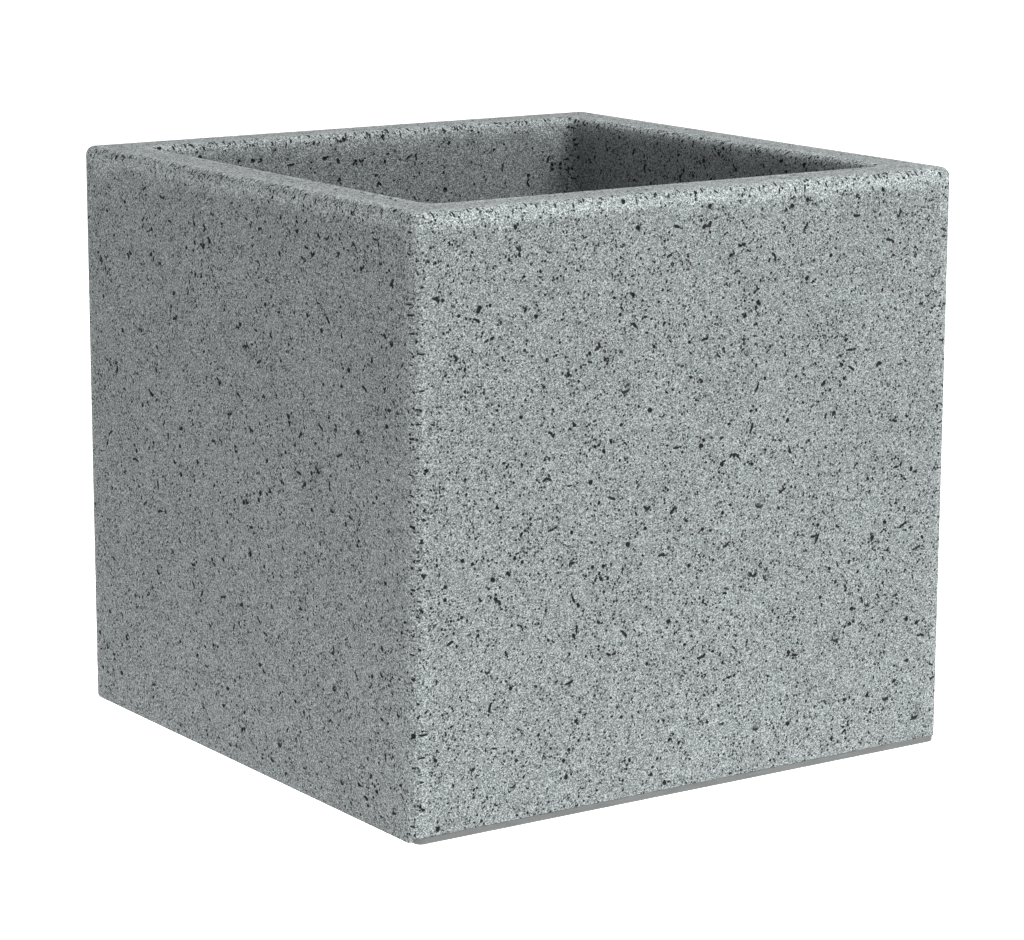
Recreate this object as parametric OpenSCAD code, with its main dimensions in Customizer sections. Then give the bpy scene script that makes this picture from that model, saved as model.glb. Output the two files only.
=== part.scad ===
// Cube planter box with a double-walled moulded shell, a screwed base plate, rubber feet,
// a screw-in drain plug and a lift-out drainage grid.
// Millimetres, +Z up, the front faces -Y. The origin is at floor level, under the box's centre.

/* [Box] */
// Outside width and depth of the box
box_w = 390; // [320:1:480]
// Height from the floor to the top of the rim
box_h = 363; // [250:1:460]
// Width of the rim, from the outer face to the planting opening
rim_w = 33; // [30:1:45]
// Thickness of the moulded skin
skin_t = 3.2; // [2.6:0.1:4]

/* [Rounding] */
// Radius of the outer upright edges
upright_r = 7; // [6.5:0.5:10]
// Radius of the rim's outer edge
rim_outer_r = 6; // [3:0.5:6]
// Radius of the rim's inner edge
rim_inner_r = 5; // [3:0.5:6]
// Radius of the planting opening's upright corners
opening_r = 8; // [6.5:0.5:12]

/* [Base] */
// Height of the base plate's edge, seen along the foot of the front and the back
band_h = 4.2; // [3.5:0.1:6]
// Thickness of the side walls where they run down past the base plate
skirt_t = 2; // [1.5:0.1:2.5]
// Rounding along the base plate's lower edge
band_r = 1.2; // [0.5:0.1:1.5]
// Height of the planting floor above the ground
floor_z = 30; // [28:0.5:50]
// How far the rubber feet stand proud of the base plate
foot_proud = 1.5; // [1:0.1:3]
// Radius of a rubber foot
foot_r = 16; // [10:0.5:20]
// Distance of the feet from the box's centre, along X and along Y
foot_at = 150; // [120:1:155]

/* [Drain] */
// Radius of the drain's bore
bore_r = 9; // [8:0.5:11]
// Lead of the drain plug's thread
lead = 4; // [3:0.5:5]
// Radius of the hand hole in the base plate, under the plug
hand_hole_r = 26; // [22:1:30]

/* [Grid] */
// Height of the drainage grid's underside above the planting floor
grid_lift_h = 14; // [10:1:40]
// Thickness of the grid's deck
grid_t = 5; // [4:0.5:6]
// Gap between the grid and the inner walls
grid_gap = 3; // [2:0.5:5]

/* [Hidden] */
$fn = 64;

eps = 0.05;                            // gap between fixed pieces that slide into each other
over = 1;                              // how far a cutter runs past the face it cuts

half_w = box_w / 2;
open_half = half_w - rim_w;            // half the planting opening
tub_half = open_half + skin_t;         // outside of the inner walls
hollow_half = half_w - skin_t;         // inside of the outer walls
body_z = foot_proud;                   // underside of the box
plate_top = body_z + band_h;
floor_t = 4;
floor_under = floor_z - floor_t;
drain_hole_r = 14.3;

// Base plate, a little inside the walls so that it drops in
plate_gap = 0.1;
plate_inset = 0.4;
plate_r = 5;
ring_w = 3;
ring_h = 8;

// Fixing screws and the blocks that hold them, halfway between the two walls
screw_at = (tub_half + hollow_half) / 2;
screw_places = [
    for (x = [-1, 0, 1], y = [-1, 0, 1])
    if (x != 0 || y != 0)
    [x, y]
];
screw_r = 2.1;
screw_len = 20;
screw_gap = 0.3;
tip_l = 5;
tip_flat = 1;
head_r = 4.2;
head_h = 2.2;
head_bevel = 0.6;
head_gap = 0.8;
head_z = body_z + 0.2;
cross_l = 4.6;
cross_w = 0.9;
cross_depth = 1.3;
block_across = hollow_half - tub_half;
block_along = 14;
block_r = upright_r - skin_t + 0.5;    // a little more than the hollow's own corner
block_h = 44;

// Lattice that carries the planting floor
rib_t = 3;
rib_places = [-108, -54, 54, 108];
support_half = 150;

// Feet
foot_recess = 1.5;
foot_bevel = 0.5;
foot_gap = 0.2;
stem_r = 4;
barb_r = 5.4;
barb_h = 4.3;
barb_lip = 1;
barb_tip_r = 2.6;

// Drain, from the planting floor down
gasket_t = 2;
gasket_inset = 1.5;
gasket_gap = 0.2;
flange_r = 26;
flange_t = 3;
flange_edge = 1;
flange_bevel = 2;
mouth_w = 4;
mouth_lip = 1;
barrel_r = 14;
barrel_z = 12;
nut_h = 7;
nut_r = 21;
seal_t = 3;
seal_inset = 0.5;
seal_gap = 0.3;
plug_head_r = 13;
plug_head_t = 3;
wing_l = 24;
wing_t = 5;
wing_h = 4;
plug_top = 24;
crest_r = bore_r - 0.15;
root_r = bore_r - 1.4;
plug_hollow_r = 4.5;
seal_z = barrel_z - seal_t;
thread_turns = 2.5;
thread_start = 2.5;                    // height of the thread's first turn above the barrel's end
thread_sink = 0.5;                     // how far the thread's foot is sunk into the shank
thread_foot = 1.3;                     // half the thread's width at its foot
thread_crest = 0.5;                    // half the thread's width at its crest
thread_steps = 24;                     // rings in one turn of the thread

// Grid
grid_z = floor_z + grid_lift_h;
grid_half = open_half - grid_gap;
leg_at = 120;
leg_r = 8;
peg_r = 4;
peg_h = 3.5;
peg_gap = 0.1;
grid_corner_r = opening_r - 1;
finger_at = 84;
finger_l = 40;
finger_w = 20;
finger_corner_r = 2;
slot_w = 4;
slot_l = 32;
slot_pitch_x = 42;
slot_pitch_y = 24;

stone = "#8f9796";
smooth_grey = "#8a8d8c";
black_plastic = "#34373a";
rubber_black = "#242527";
steel = "#b9bcbf";

// An upright block with rounded upright edges, half_x by half_y, from z0 to z1
module block(half_x, half_y, r, z0, z1) {
    translate([0, 0, z0])
        linear_extrude(z1 - z0)
            rounded_outline(half_x, half_y, r);
}

// The block's outline: two crossing rectangles and four round corners
module rounded_outline(half_x, half_y, r) {
    square([2 * half_x, 2 * (half_y - r)], center = true);
    square([2 * (half_x - r), 2 * half_y], center = true);
    for (x = [-1, 1], y = [-1, 1])
        translate([x * (half_x - r), y * (half_y - r)])
            circle(r);
}

// Carries a flat profile round a rectangle with round corners. The profile's X starts at the
// centres of the corner arcs, core_x and core_y out from the middle, and its Y becomes height.
module carry_round(core_x, core_y) {
    for (side = [0:3]) {
        out = side % 2 == 0 ? core_x : core_y;
        along = side % 2 == 0 ? core_y : core_x;
        rotate([0, 0, 90 * side])
            translate([out, along, 0]) {
                rotate([90, 0, 0])
                    linear_extrude(2 * along)
                        children();
                rotate_extrude(angle = 90)
                    children();
            }
    }
}

// What a rounding takes off a square edge: the corner at x, z outside a quarter circle of radius r.
// turn_x and turn_z say which way the corner points. Turned into a hollow, it is a fillet.
module edge_waste(x, z, r, turn_x, turn_z) {
    difference() {
        translate([turn_x > 0 ? x - r : x - over, turn_z > 0 ? z - r : z - over])
            square(r + over);
        translate([x - turn_x * r, z - turn_z * r])
            circle(r);
    }
}

// Outer walls, rim, inner walls and planting floor in one moulding, open underneath
module planter_shell() {
    color(stone)
        difference() {
            block(half_w, half_w, upright_r, body_z, box_h);
            difference() {
                block(hollow_half, hollow_half, upright_r - skin_t, body_z - over, box_h - skin_t);
                block(tub_half, tub_half, opening_r + skin_t, floor_under, box_h);
            }
            block(open_half, open_half, opening_r, floor_z, box_h + over);
            carry_round(half_w - upright_r, half_w - upright_r)
                edge_waste(upright_r, box_h, rim_outer_r, 1, 1);
            carry_round(open_half - opening_r, open_half - opening_r)
                edge_waste(opening_r, box_h, rim_inner_r, -1, 1);
            translate([skirt_t - half_w, -half_w - over, 0])
                cube([box_w - 2 * skirt_t, box_w + 2 * over, plate_top]);
            translate([0, 0, floor_under - over])
                cylinder(r = drain_hole_r, h = floor_t + 2 * over);
        }
}

// Blocks bonded between the two walls, which the base plate is screwed to
module fixing_blocks() {
    color(black_plastic)
        for (place = screw_places) {
            size_x = place.x == 0 ? block_along : block_across;
            size_y = place.y == 0 ? block_along : block_across;
            translate([place.x * screw_at, place.y * screw_at, 0])
                difference() {
                    block(size_x / 2, size_y / 2, block_r, plate_top, plate_top + block_h);
                    translate([0, 0, plate_top - over])
                        cylinder(r = screw_r + eps, h = screw_len + over);
                }
        }
}

// Smooth plate that closes the underside, with its edge showing at the front and the back
module base_plate() {
    plate_x = half_w - skirt_t - plate_gap;
    plate_y = half_w - plate_inset;
    color(smooth_grey)
        difference() {
            union() {
                block(plate_x, plate_y, plate_r, body_z, plate_top);
                translate([0, 0, plate_top - over])
                    cylinder(r = hand_hole_r + ring_w, h = ring_h + over);
            }
            carry_round(plate_x - plate_r, plate_y - plate_r)
                edge_waste(plate_r, body_z, band_r, 1, -1);
            translate([0, 0, body_z - over])
                cylinder(r = hand_hole_r, h = band_h + ring_h + 2 * over);
            for (place = screw_places)
                translate([place.x * screw_at, place.y * screw_at, body_z - over]) {
                    cylinder(r = screw_r + screw_gap, h = band_h + 2 * over);
                    cylinder(r = head_r + head_gap, h = over + head_z + head_h - body_z);
                }
            for (x = [-1, 1], y = [-1, 1])
                translate([x * foot_at, y * foot_at, body_z - over]) {
                    cylinder(r = stem_r + eps, h = band_h + 2 * over);
                    cylinder(r = foot_r + foot_gap, h = over + foot_recess);
                }
        }
}

// Lattice of upright ribs that stands on the base plate and carries the planting floor
module floor_support() {
    color(black_plastic)
        for (at = rib_places) {
            translate([at - rib_t / 2, -support_half, plate_top])
                cube([rib_t, 2 * support_half, floor_under - plate_top]);
            translate([-support_half, at - rib_t / 2, plate_top])
                cube([2 * support_half, rib_t, floor_under - plate_top]);
        }
}

// One self-tapping screw, head down, with a cross in its head
module base_screw() {
    shank_z = head_z + head_h;
    tip_z = shank_z + screw_len - tip_flat;
    difference() {
        rotate_extrude()
            polygon([
                [0, head_z], [head_r - head_bevel, head_z], [head_r, head_z + head_bevel],
                [head_r, shank_z], [screw_r, shank_z], [screw_r, tip_z - tip_l], [0, tip_z]
            ]);
        for (turn = [0, 90])
            rotate([0, 0, turn])
                translate([-cross_l / 2, -cross_w / 2, head_z - over])
                    cube([cross_l, cross_w, over + cross_depth]);
    }
}

module base_screws() {
    color(steel)
        for (place = screw_places)
            translate([place.x * screw_at, place.y * screw_at, 0])
                base_screw();
}

// Rubber foot: a pad let into the base plate, with a stem and a barb that holds it there
module foot(x, y) {
    pad_top = body_z + foot_recess;
    color(rubber_black)
        translate([x * foot_at, y * foot_at, 0])
            rotate_extrude()
                polygon([
                    [0, 0], [foot_r - foot_bevel, 0], [foot_r, foot_bevel], [foot_r, pad_top],
                    [stem_r, pad_top], [stem_r, plate_top + eps], [barb_r, plate_top + eps],
                    [barb_r, plate_top + barb_lip], [barb_tip_r, plate_top + barb_h],
                    [0, plate_top + barb_h]
                ]);
}

// Flanged bush through the planting floor; its mouth is countersunk so that the water runs out
module drain_fitting() {
    flange_z = floor_z + gasket_t;
    color(black_plastic)
        rotate_extrude()
            polygon([
                [bore_r, barrel_z], [barrel_r, barrel_z], [barrel_r, flange_z],
                [flange_r, flange_z], [flange_r, flange_z + flange_edge],
                [flange_r - flange_bevel, flange_z + flange_t],
                [bore_r + mouth_w, flange_z + flange_t], [bore_r, flange_z - mouth_lip]
            ]);
}

module drain_gasket() {
    color(rubber_black)
        translate([0, 0, floor_z])
            difference() {
                cylinder(r = flange_r - gasket_inset, h = gasket_t);
                translate([0, 0, -over])
                    cylinder(r = barrel_r + gasket_gap, h = gasket_t + 2 * over);
            }
}

// Six-sided nut that clamps the fitting to the underside of the planting floor
module drain_nut() {
    color(black_plastic)
        translate([0, 0, floor_under - nut_h])
            difference() {
                cylinder(r = nut_r, h = nut_h, $fn = 6);
                translate([0, 0, -over])
                    cylinder(r = barrel_r + eps, h = nut_h + 2 * over);
            }
}

// Corner i of the thread's section, at the angle and the height of one step
function thread_corner(i, step) =
    let (
        angle = 360 * step / thread_steps,
        mid_z = barrel_z + thread_start + lead * step / thread_steps,
        inner = i == 0 || i == 3,
        radius = inner ? root_r - thread_sink : crest_r,
        half_h = inner ? thread_foot : thread_crest,
        up = i < 2 ? -1 : 1
    )
    [radius * cos(angle), radius * sin(angle), mid_z + up * half_h];

// A ridge wound round the plug's shank, right-handed
module thread_ridge() {
    last = thread_turns * thread_steps;
    points = [for (step = [0:last], i = [0:3]) thread_corner(i, step)];
    sides = [
        for (step = [0:last - 1], i = [0:3])
        let (next = (i + 1) % 4)
        [4 * step + next, 4 * step + 4 + next, 4 * step + 4 + i, 4 * step + i]
    ];
    ends = [[3, 2, 1, 0], [4 * last, 4 * last + 1, 4 * last + 2, 4 * last + 3]];
    polyhedron(points = points, faces = concat(sides, ends), convexity = 4);
}

// Hollow plug with a wing to turn it by, screwed up into the fitting from underneath
module drain_plug() {
    head_top = seal_z;
    head_bottom = seal_z - plug_head_t;
    color(black_plastic)
        difference() {
            union() {
                translate([0, 0, head_bottom])
                    cylinder(r = plug_head_r, h = plug_head_t);
                translate([0, 0, head_top - over])
                    cylinder(r = root_r, h = plug_top - head_top + over);
                translate([-wing_l / 2, -wing_t / 2, head_bottom - wing_h])
                    cube([wing_l, wing_t, wing_h + over]);
                thread_ridge();
            }
            translate([0, 0, head_top + over])
                cylinder(r = plug_hollow_r, h = plug_top);
        }
}

module plug_seal() {
    color(rubber_black)
        translate([0, 0, seal_z])
            difference() {
                cylinder(r = barrel_r - seal_inset, h = seal_t);
                translate([0, 0, -over])
                    cylinder(r = bore_r + seal_gap, h = seal_t + 2 * over);
            }
}

// True where a slot would run into a finger hole
function blocked(column, row) =
    abs(row) < 1 && abs(abs(column * slot_pitch_x) - finger_at) < (slot_l + finger_l) / 2;

module slot_outline() {
    square([slot_l - slot_w, slot_w], center = true);
    for (x = [-1, 1])
        translate([x * (slot_l - slot_w) / 2, 0])
            circle(slot_w / 2, $fn = 24);
}

// Perforated false floor that the soil lies on; it lifts out by its two finger holes
module drain_grid() {
    color(black_plastic)
        difference() {
            translate([0, 0, grid_z])
                linear_extrude(grid_t)
                    difference() {
                        rounded_outline(grid_half, grid_half, grid_corner_r);
                        for (column = [-3:3], row = [-5.5:5.5])
                            if (!blocked(column, row))
                                translate([column * slot_pitch_x, row * slot_pitch_y])
                                    slot_outline();
                        for (x = [-1, 1])
                            translate([x * finger_at, 0])
                                rounded_outline(finger_l / 2, finger_w / 2, finger_corner_r);
                    }
            for (place = screw_places)
                translate([place.x * leg_at, place.y * leg_at, grid_z - over])
                    cylinder(r = peg_r + eps, h = peg_h + over);
        }
}

// The grid's eight push-in posts
module grid_legs() {
    color(black_plastic)
        for (place = screw_places)
            translate([place.x * leg_at, place.y * leg_at, floor_z]) {
                cylinder(r = leg_r, h = grid_lift_h);
                cylinder(r = peg_r, h = grid_lift_h + peg_h - peg_gap);
            }
}

planter_shell();
fixing_blocks();
base_plate();
base_screws();
floor_support();
foot(-1, -1);  // foot_front_left
foot(1, -1);  // foot_front_right
foot(-1, 1);  // foot_back_left
foot(1, 1);  // foot_back_right
drain_fitting();
drain_gasket();
drain_nut();
drain_plug();
plug_seal();
drain_grid();
grid_legs();
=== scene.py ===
"""A cube planter box with a pitted, stone-textured skin, built round its packed CAD frame.

The walls, the rim and the inner walls are one moulding. Here they are four mitred sides, each a closed
mesh: a profile carried along a rounded square, with thousands of small pits pressed into it. The other
parts keep their CAD shapes and get their finishes. Lengths are in metres.
"""

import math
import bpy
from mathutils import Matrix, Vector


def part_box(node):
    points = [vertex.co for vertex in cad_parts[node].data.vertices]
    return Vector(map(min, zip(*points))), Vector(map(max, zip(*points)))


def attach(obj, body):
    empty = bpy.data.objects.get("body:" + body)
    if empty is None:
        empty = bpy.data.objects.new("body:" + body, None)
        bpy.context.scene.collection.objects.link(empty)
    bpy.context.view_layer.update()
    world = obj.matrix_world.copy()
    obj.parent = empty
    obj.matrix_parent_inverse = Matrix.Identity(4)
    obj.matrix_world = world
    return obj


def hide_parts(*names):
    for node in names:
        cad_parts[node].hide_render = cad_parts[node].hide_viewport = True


bl_info = {
    "name": "Stone-look cube planter",
    "version": (1, 0, 0),
    "blender": (4, 5, 0),
    "location": "3D View > Sidebar > Planter",
    "description": "A cube planter box with a pitted stone skin, a drain and a lift-out grid",
    "category": "Add Mesh",
}

import bpy
import numpy as np
from bpy.props import FloatProperty, FloatVectorProperty, IntProperty, PointerProperty
from mathutils import Matrix, Vector
from mathutils.geometry import delaunay_2d_cdt

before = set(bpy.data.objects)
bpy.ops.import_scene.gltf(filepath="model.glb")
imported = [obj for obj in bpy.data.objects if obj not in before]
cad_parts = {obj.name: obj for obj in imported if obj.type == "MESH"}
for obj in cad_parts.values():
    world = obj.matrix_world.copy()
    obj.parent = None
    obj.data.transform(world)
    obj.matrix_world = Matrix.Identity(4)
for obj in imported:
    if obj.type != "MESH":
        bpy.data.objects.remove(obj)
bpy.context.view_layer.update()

ROOT = "planter"
MM = 0.001
SHELL_LOW, SHELL_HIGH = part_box("planter_shell")
SIDES = ("right", "back", "left", "front")  # quarter turns anticlockwise from +X

# Stretches of the shell's profile, by their place in its order
WALL, RIM_OUTER, RIM_TOP, RIM_INNER, INNER_WALL, FILLET, FLOOR = range(1, 8)
SKIRT_TURN = 1.5 * MM  # how far before an upright edge's rounding the skirt starts to rise
SKIRT_LIFT = 0.88  # share of its height that the skirt has risen at the mitre

# Pits: radii, and reaches along the edges, in millimetres
SPECK = (0.62, 1.0)
CRATER = (1.9, 4.1)
CRACK_LINK = (0.8, 1.35)
CRACK_STEP = 1.1
UPRIGHT_TICK = (0.9, 3.2)
RIM_TICK = (0.9, 2.6)
# A crater's dark lip is painted shade in its groove, on the side that it leans to.
CRATER_LEAN = math.radians(-112)  # outside, a crater's dark lip is below it, a little to the left
LIP, LIP_WIDTH = 0.86, 0.14  # place and width of a crater's lip, as shares of its radius
GROOVE = 0.45 * MM  # depth of the groove in the lip
MARGIN = 12 * MM  # outside, craters and cracks keep this far from the foot and the rim
BARE = 3 * MM  # no pit is nearer to the foot, or to the fillet at the floor

# Relief map and mesh
RASTER = 0.25 * MM  # one cell of the relief map
SPARE_ROWS = 40  # rows of the relief map beyond the last pitted place
SMALL, LARGE = 0.95 * MM, 1.85 * MM  # radii at which a pit gets more rings of points
EVEN_STEP = 2.4 * MM  # between the points that hold the roundings in shape
CLOSEST = 0.38 * MM  # of the pits' points, one is kept in each square of this size
EDGE_GAP = 0.7 * MM  # from the pits' points to the ends of a side
LONGEST = 2.0 * MM  # a longer edge would draw a pit out into a wedge
STEEPEST = 1.6  # slope of a pit's wall that the normals still follow
TOUCHED = 0.02 * MM  # anything shallower is left plain
SHALLOW = 0.22 * MM  # a ring's point in a pale spot is left plain up to this depth
FADE = 5 * MM  # how far the painted highlight reaches beyond a rounding

# Studio
FLOOR_RADIUS = 14
GLOW = (0.2, 0.8)  # from the first distance to the second, the light table fades out
KEY_PLACE, KEY_AIM, KEY_SIZE = Vector((0.8, -1.35, 1.85)), Vector((0, 0, 0.2)), 1.2


# Sizes, finishes and lights that a user would change


def length(name, description, default):
    return FloatProperty(
        name=name, description=description, default=default, unit="LENGTH", min=0, precision=4
    )


def number(name, description, default):
    return FloatProperty(name=name, description=description, default=default)


def whole(name, description, default):
    return IntProperty(name=name, description=description, default=default, min=0)


def colour(name, description, default):
    return FloatVectorProperty(
        name=name, description=description, default=default, subtype="COLOR", size=3, min=0, max=1
    )


class PlanterShape(bpy.types.PropertyGroup):
    """Sizes of the moulded shell, beyond what the CAD frame gives"""

    rim: length("Rim width", "From the outer face to the planting opening", 33 * MM)
    skin: length("Skin", "Thickness of the moulded skin", 3.2 * MM)
    band: length("Base band", "Height of the base plate's edge at the front and back", 4.2 * MM)
    skirt: length("Skirt", "Thickness of the side walls where they pass the base plate", 2 * MM)
    upright: length("Upright edges", "Radius of the outer upright edges", 7 * MM)
    rim_outer: length("Rim, outer edge", "Radius of the rim's outer edge", 6 * MM)
    rim_inner: length("Rim, inner edge", "Radius of the rim's inner edge", 5 * MM)
    opening: length("Opening corners", "Radius of the planting opening's corners", 8 * MM)
    fillet: length("Floor fillet", "Radius between the inner walls and the floor", 2 * MM)
    lower: length("Lower edge", "Radius of the walls' lower edge", 0.9 * MM)
    floor: length("Planting floor", "Height of the planting floor above the ground", 30 * MM)
    floor_skin: length("Floor thickness", "Thickness of the planting floor", 4 * MM)
    drain: length("Drain hole", "Radius of the hole for the drain fitting", 14.3 * MM)


class PlanterPits(bpy.types.PropertyGroup):
    """How the stone skin is pitted. A density is a number for each 1000 square millimetres"""

    seed: whole("Seed", "Start of the random draws", 11)
    specks: number("Specks", "Density of the smallest holes", 16)
    pits: number("Pits", "Density of holes 1.8 to 3.5 mm across", 3.6)
    craters: whole("Craters", "Shallow craters on each outer wall; an inner one has half as many", 30)
    cracks: whole("Cracks", "Short wandering cracks on each wall", 55)
    ticks: whole("Ticks", "Nicks along each upright edge, and a third more on the rim's edges", 36)


class PlanterColours(bpy.types.PropertyGroup):
    """Colours of the finishes, as linear light"""

    stone: colour("Stone", "Body of the stone finish", (0.119, 0.132, 0.132))
    pale: colour("Pale grains", "Lightest grains of the stone", (0.256, 0.279, 0.279))
    dark: colour("Dark grains", "Darkest grains of the stone", (0.045, 0.050, 0.051))
    # Colour of painted shade in the pits, cracks, nicks and pinholes, over their own dark bottoms
    pit: colour("Pits", "Inside of the pits", (0.006, 0.007, 0.008))
    band: colour("Base plate", "Smooth plastic of the base plate", (0.060, 0.064, 0.063))
    plastic: colour("Drain plastic", "Black plastic of the drain and the grid", (0.022, 0.024, 0.027))
    rubber: colour("Rubber", "Feet and seals", (0.016, 0.016, 0.017))
    steel: colour("Steel", "Zinc plated screws", (0.60, 0.61, 0.62))


class PlanterStudio(bpy.types.PropertyGroup):
    """Camera and lights"""

    azimuth: number("Azimuth", "Camera's turn round the box, in degrees", -34.27)
    elevation: number("Elevation", "Camera's height angle, in degrees", 11.80)
    roll: number("Roll", "Camera's roll, in degrees", 0.16)
    distance: length("Distance", "From the aim point to the camera", 2.268)
    aside: length("Aim aside", "Aim point's place to the camera's right of the base's centre", 0.0029)
    above: length("Aim above", "Aim point's place above the base, along the camera's up", 0.1587)
    lens: number("Lens", "Focal length in millimetres", 124.2)
    key: number("Key light", "Power of the key light, in watts", 71)
    table: number("Light table", "Glow of the floor under the box", 2.1)
    rest: number("Far floor", "Glow of the floor away from the box", 0.5)
    sky: number("Sky", "Strength of the white surroundings", 1.0)


# The shell's shape: a closed profile carried along a rounded square


def outline(shape, rebated):
    """The profile's stretches in order, as (start, length, function of the way along).

    The profile runs up the outer wall, over the rim, down the inner wall, across the planting floor to
    the drain hole and back through the hollow between the walls to where it began. Each function gives
    the distance out from the axis, the height, the half length of the straight part of the rounded
    square, and the direction of travel, out and up. On the outer wall the way along equals the height.
    """
    half = SHELL_HIGH.x
    top = SHELL_HIGH.z
    foot = SHELL_LOW.z if rebated else SHELL_LOW.z + shape.band
    shelf = SHELL_LOW.z + shape.band
    opening = half - shape.rim
    outer_core = half - shape.upright
    inner_core = opening - shape.opening
    tub = opening + shape.skin
    inside = half - shape.skin
    under = shape.floor - shape.floor_skin
    parts = []

    def line(out0, up0, core0, out1, up1, core1):
        size = math.hypot(out1 - out0, up1 - up0)
        along = ((out1 - out0) / size, (up1 - up0) / size)

        def at(way):
            share = way / size
            return (
                out0 + share * (out1 - out0),
                up0 + share * (up1 - up0),
                core0 + share * (core1 - core0),
                np.full_like(way, along[0]),
                np.full_like(way, along[1]),
            )

        parts.append((size, at))

    def arc(out, up, core, radius, angle0, angle1):
        turn = 1 if angle1 > angle0 else -1

        def at(way):
            angle = math.radians(angle0) + turn * way / radius
            return (
                out + radius * np.cos(angle),
                up + radius * np.sin(angle),
                np.full_like(way, core),
                -turn * np.sin(angle),
                turn * np.cos(angle),
            )

        parts.append((radius * math.radians(abs(angle1 - angle0)), at))

    low, outer, inner, fillet = shape.lower, shape.rim_outer, shape.rim_inner, shape.fillet
    arc(half - low, foot + low, outer_core, low, -90, 0)
    line(half, foot + low, outer_core, half, top - outer, outer_core)
    arc(half - outer, top - outer, outer_core, outer, 0, 90)
    line(half - outer, top, outer_core, opening + inner, top, inner_core)
    arc(opening + inner, top - inner, inner_core, inner, 90, 180)
    line(opening, top - inner, inner_core, opening, shape.floor + fillet, inner_core)
    arc(opening - fillet, shape.floor + fillet, inner_core, fillet, 0, -90)
    line(opening - fillet, shape.floor, inner_core, shape.drain, shape.floor, 0)
    line(shape.drain, shape.floor, 0, shape.drain, under, 0)
    line(shape.drain, under, 0, tub, under, inner_core)
    line(tub, under, inner_core, tub, top - shape.skin, inner_core)
    line(tub, top - shape.skin, inner_core, inside, top - shape.skin, outer_core)
    if rebated:
        line(inside, top - shape.skin, outer_core, inside, shelf, outer_core)
        line(inside, shelf, outer_core, half - shape.skirt, shelf, outer_core)
        line(half - shape.skirt, shelf, outer_core, half - shape.skirt, foot, outer_core)
        line(half - shape.skirt, foot, outer_core, half - low, foot, outer_core)
    else:
        line(inside, top - shape.skin, outer_core, inside, foot, outer_core)
        line(inside, foot, outer_core, half - low, foot, outer_core)
    start = foot + low - low * math.pi / 2
    result = []
    for size, at in parts:
        result.append((start, size, at))
        start += size
    return result


def profile(stretches, way):
    """Distance out, height, core, and direction out and up, for an array of ways along the profile."""
    starts = np.array([s[0] for s in stretches])
    which = np.clip(np.searchsorted(starts, way + 1e-9, side="right") - 1, 0, len(stretches) - 1)
    result = np.zeros((5, len(way)))
    for i, (start, size, at) in enumerate(stretches):
        here = which == i
        if here.any():
            result[:, here] = at(np.clip(way[here] - start, 0, size))
    return result


def half_turn_length(shape):
    """Half of one side of the rounded square, from its middle to the mitre halfway round the corner."""
    return SHELL_HIGH.x - shape.upright + shape.upright * math.pi / 4


def side_surface(shape, stretches, side, across, way, depth, slope_across, slope_way):
    """Points and normals of one side of the shell.

    S(across, way): the rounded square at that height has a straight part of half length core and corner
    arcs of radius out - core. Within the straight part, across is scaled to core; past it, what is left
    of across turns the point round the arc. Near the mitres, what hangs below the base plate's top is
    lifted almost to it, by the square of the share of the way there, so that the side walls end in round
    corners. The whole is then turned by quarter turns to its side, moved inwards by depth along the
    normal, and the normal is tilted by the depth's two slopes.
    """
    out, up, core, go_out, go_up = profile(stretches, way)
    straight = SHELL_HIGH.x - shape.upright
    share = np.clip(across / straight, -1, 1)
    angle = np.clip(np.abs(across) - straight, 0, None) / shape.upright * np.sign(across)
    radius = out - core
    x = core + radius * np.cos(angle)
    y = share * core + radius * np.sin(angle)
    level = np.zeros_like(x)
    away = np.stack([np.cos(angle), np.sin(angle), level], -1)
    sideways = np.stack([-np.sin(angle), np.cos(angle), level], -1)
    upward = np.array([0.0, 0.0, 1.0])
    travel = away * go_out[:, None] + upward * go_up[:, None]
    normal = away * go_up[:, None] - upward * go_out[:, None]
    shelf = SHELL_LOW.z + shape.band
    past = np.abs(across) - straight + SKIRT_TURN
    lift = np.clip(past / (half_turn_length(shape) - straight), 0, 1)
    up = np.where(up < shelf, up + SKIRT_LIFT * lift**2 * (shelf - up), up)
    points = np.stack([x, y, up], -1) - normal * depth[:, None]
    normal = normal + sideways * slope_across[:, None] + travel * slope_way[:, None]
    normal /= np.linalg.norm(normal, axis=1)[:, None]
    turn = math.radians(90 * side)
    spin = np.array(
        [[math.cos(turn), -math.sin(turn), 0], [math.sin(turn), math.cos(turn), 0], [0, 0, 1]]
    )
    return points @ spin.T, normal @ spin.T


# The pits: each is an oval dish, pressed into a relief map of the whole unrolled skin


class Pits:
    """A growing list of pits, as arrays. Columns are named in ORDER."""

    # dark: how much of the pits' colour, partly painted shade, the pit gets
    ORDER = ("round", "way", "long", "short", "turn", "depth", "dark", "lean")

    def __init__(self):
        self.rows = []

    def add(self, **columns):
        size = max(np.size(v) for v in columns.values())
        self.rows.append(
            np.stack([np.broadcast_to(columns.get(k, 0.0), size).astype(float) for k in self.ORDER], -1)
        )

    def table(self):
        return np.concatenate(self.rows)


def smooth_noise(rng, round_, way, cell):
    """A smooth random field at the given places, about -1 to 1: six plane waves about cell long."""
    total = np.zeros_like(round_)
    for _ in range(6):
        heading = rng.uniform(0, 2 * math.pi)
        wave = 2 * math.pi / cell / rng.uniform(0.7, 1.6)
        along = round_ * math.cos(heading) + way * math.sin(heading)
        total += np.sin(wave * along + rng.uniform(0, 7))
    return total / 3.5


def scatter(rng, count, low, high, width, cell, contrast):
    """Random places, gathered where a smooth random field is high."""
    round_ = rng.uniform(0, width, count * 3)
    way = rng.uniform(low, high, count * 3)
    chance = np.exp(contrast * smooth_noise(rng, round_, way, cell))
    keep = rng.random(count * 3) < chance / chance.max()
    return round_[keep][:count], way[keep][:count]


def any_turn(rng, count):
    return rng.uniform(0, math.pi, count)


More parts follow.
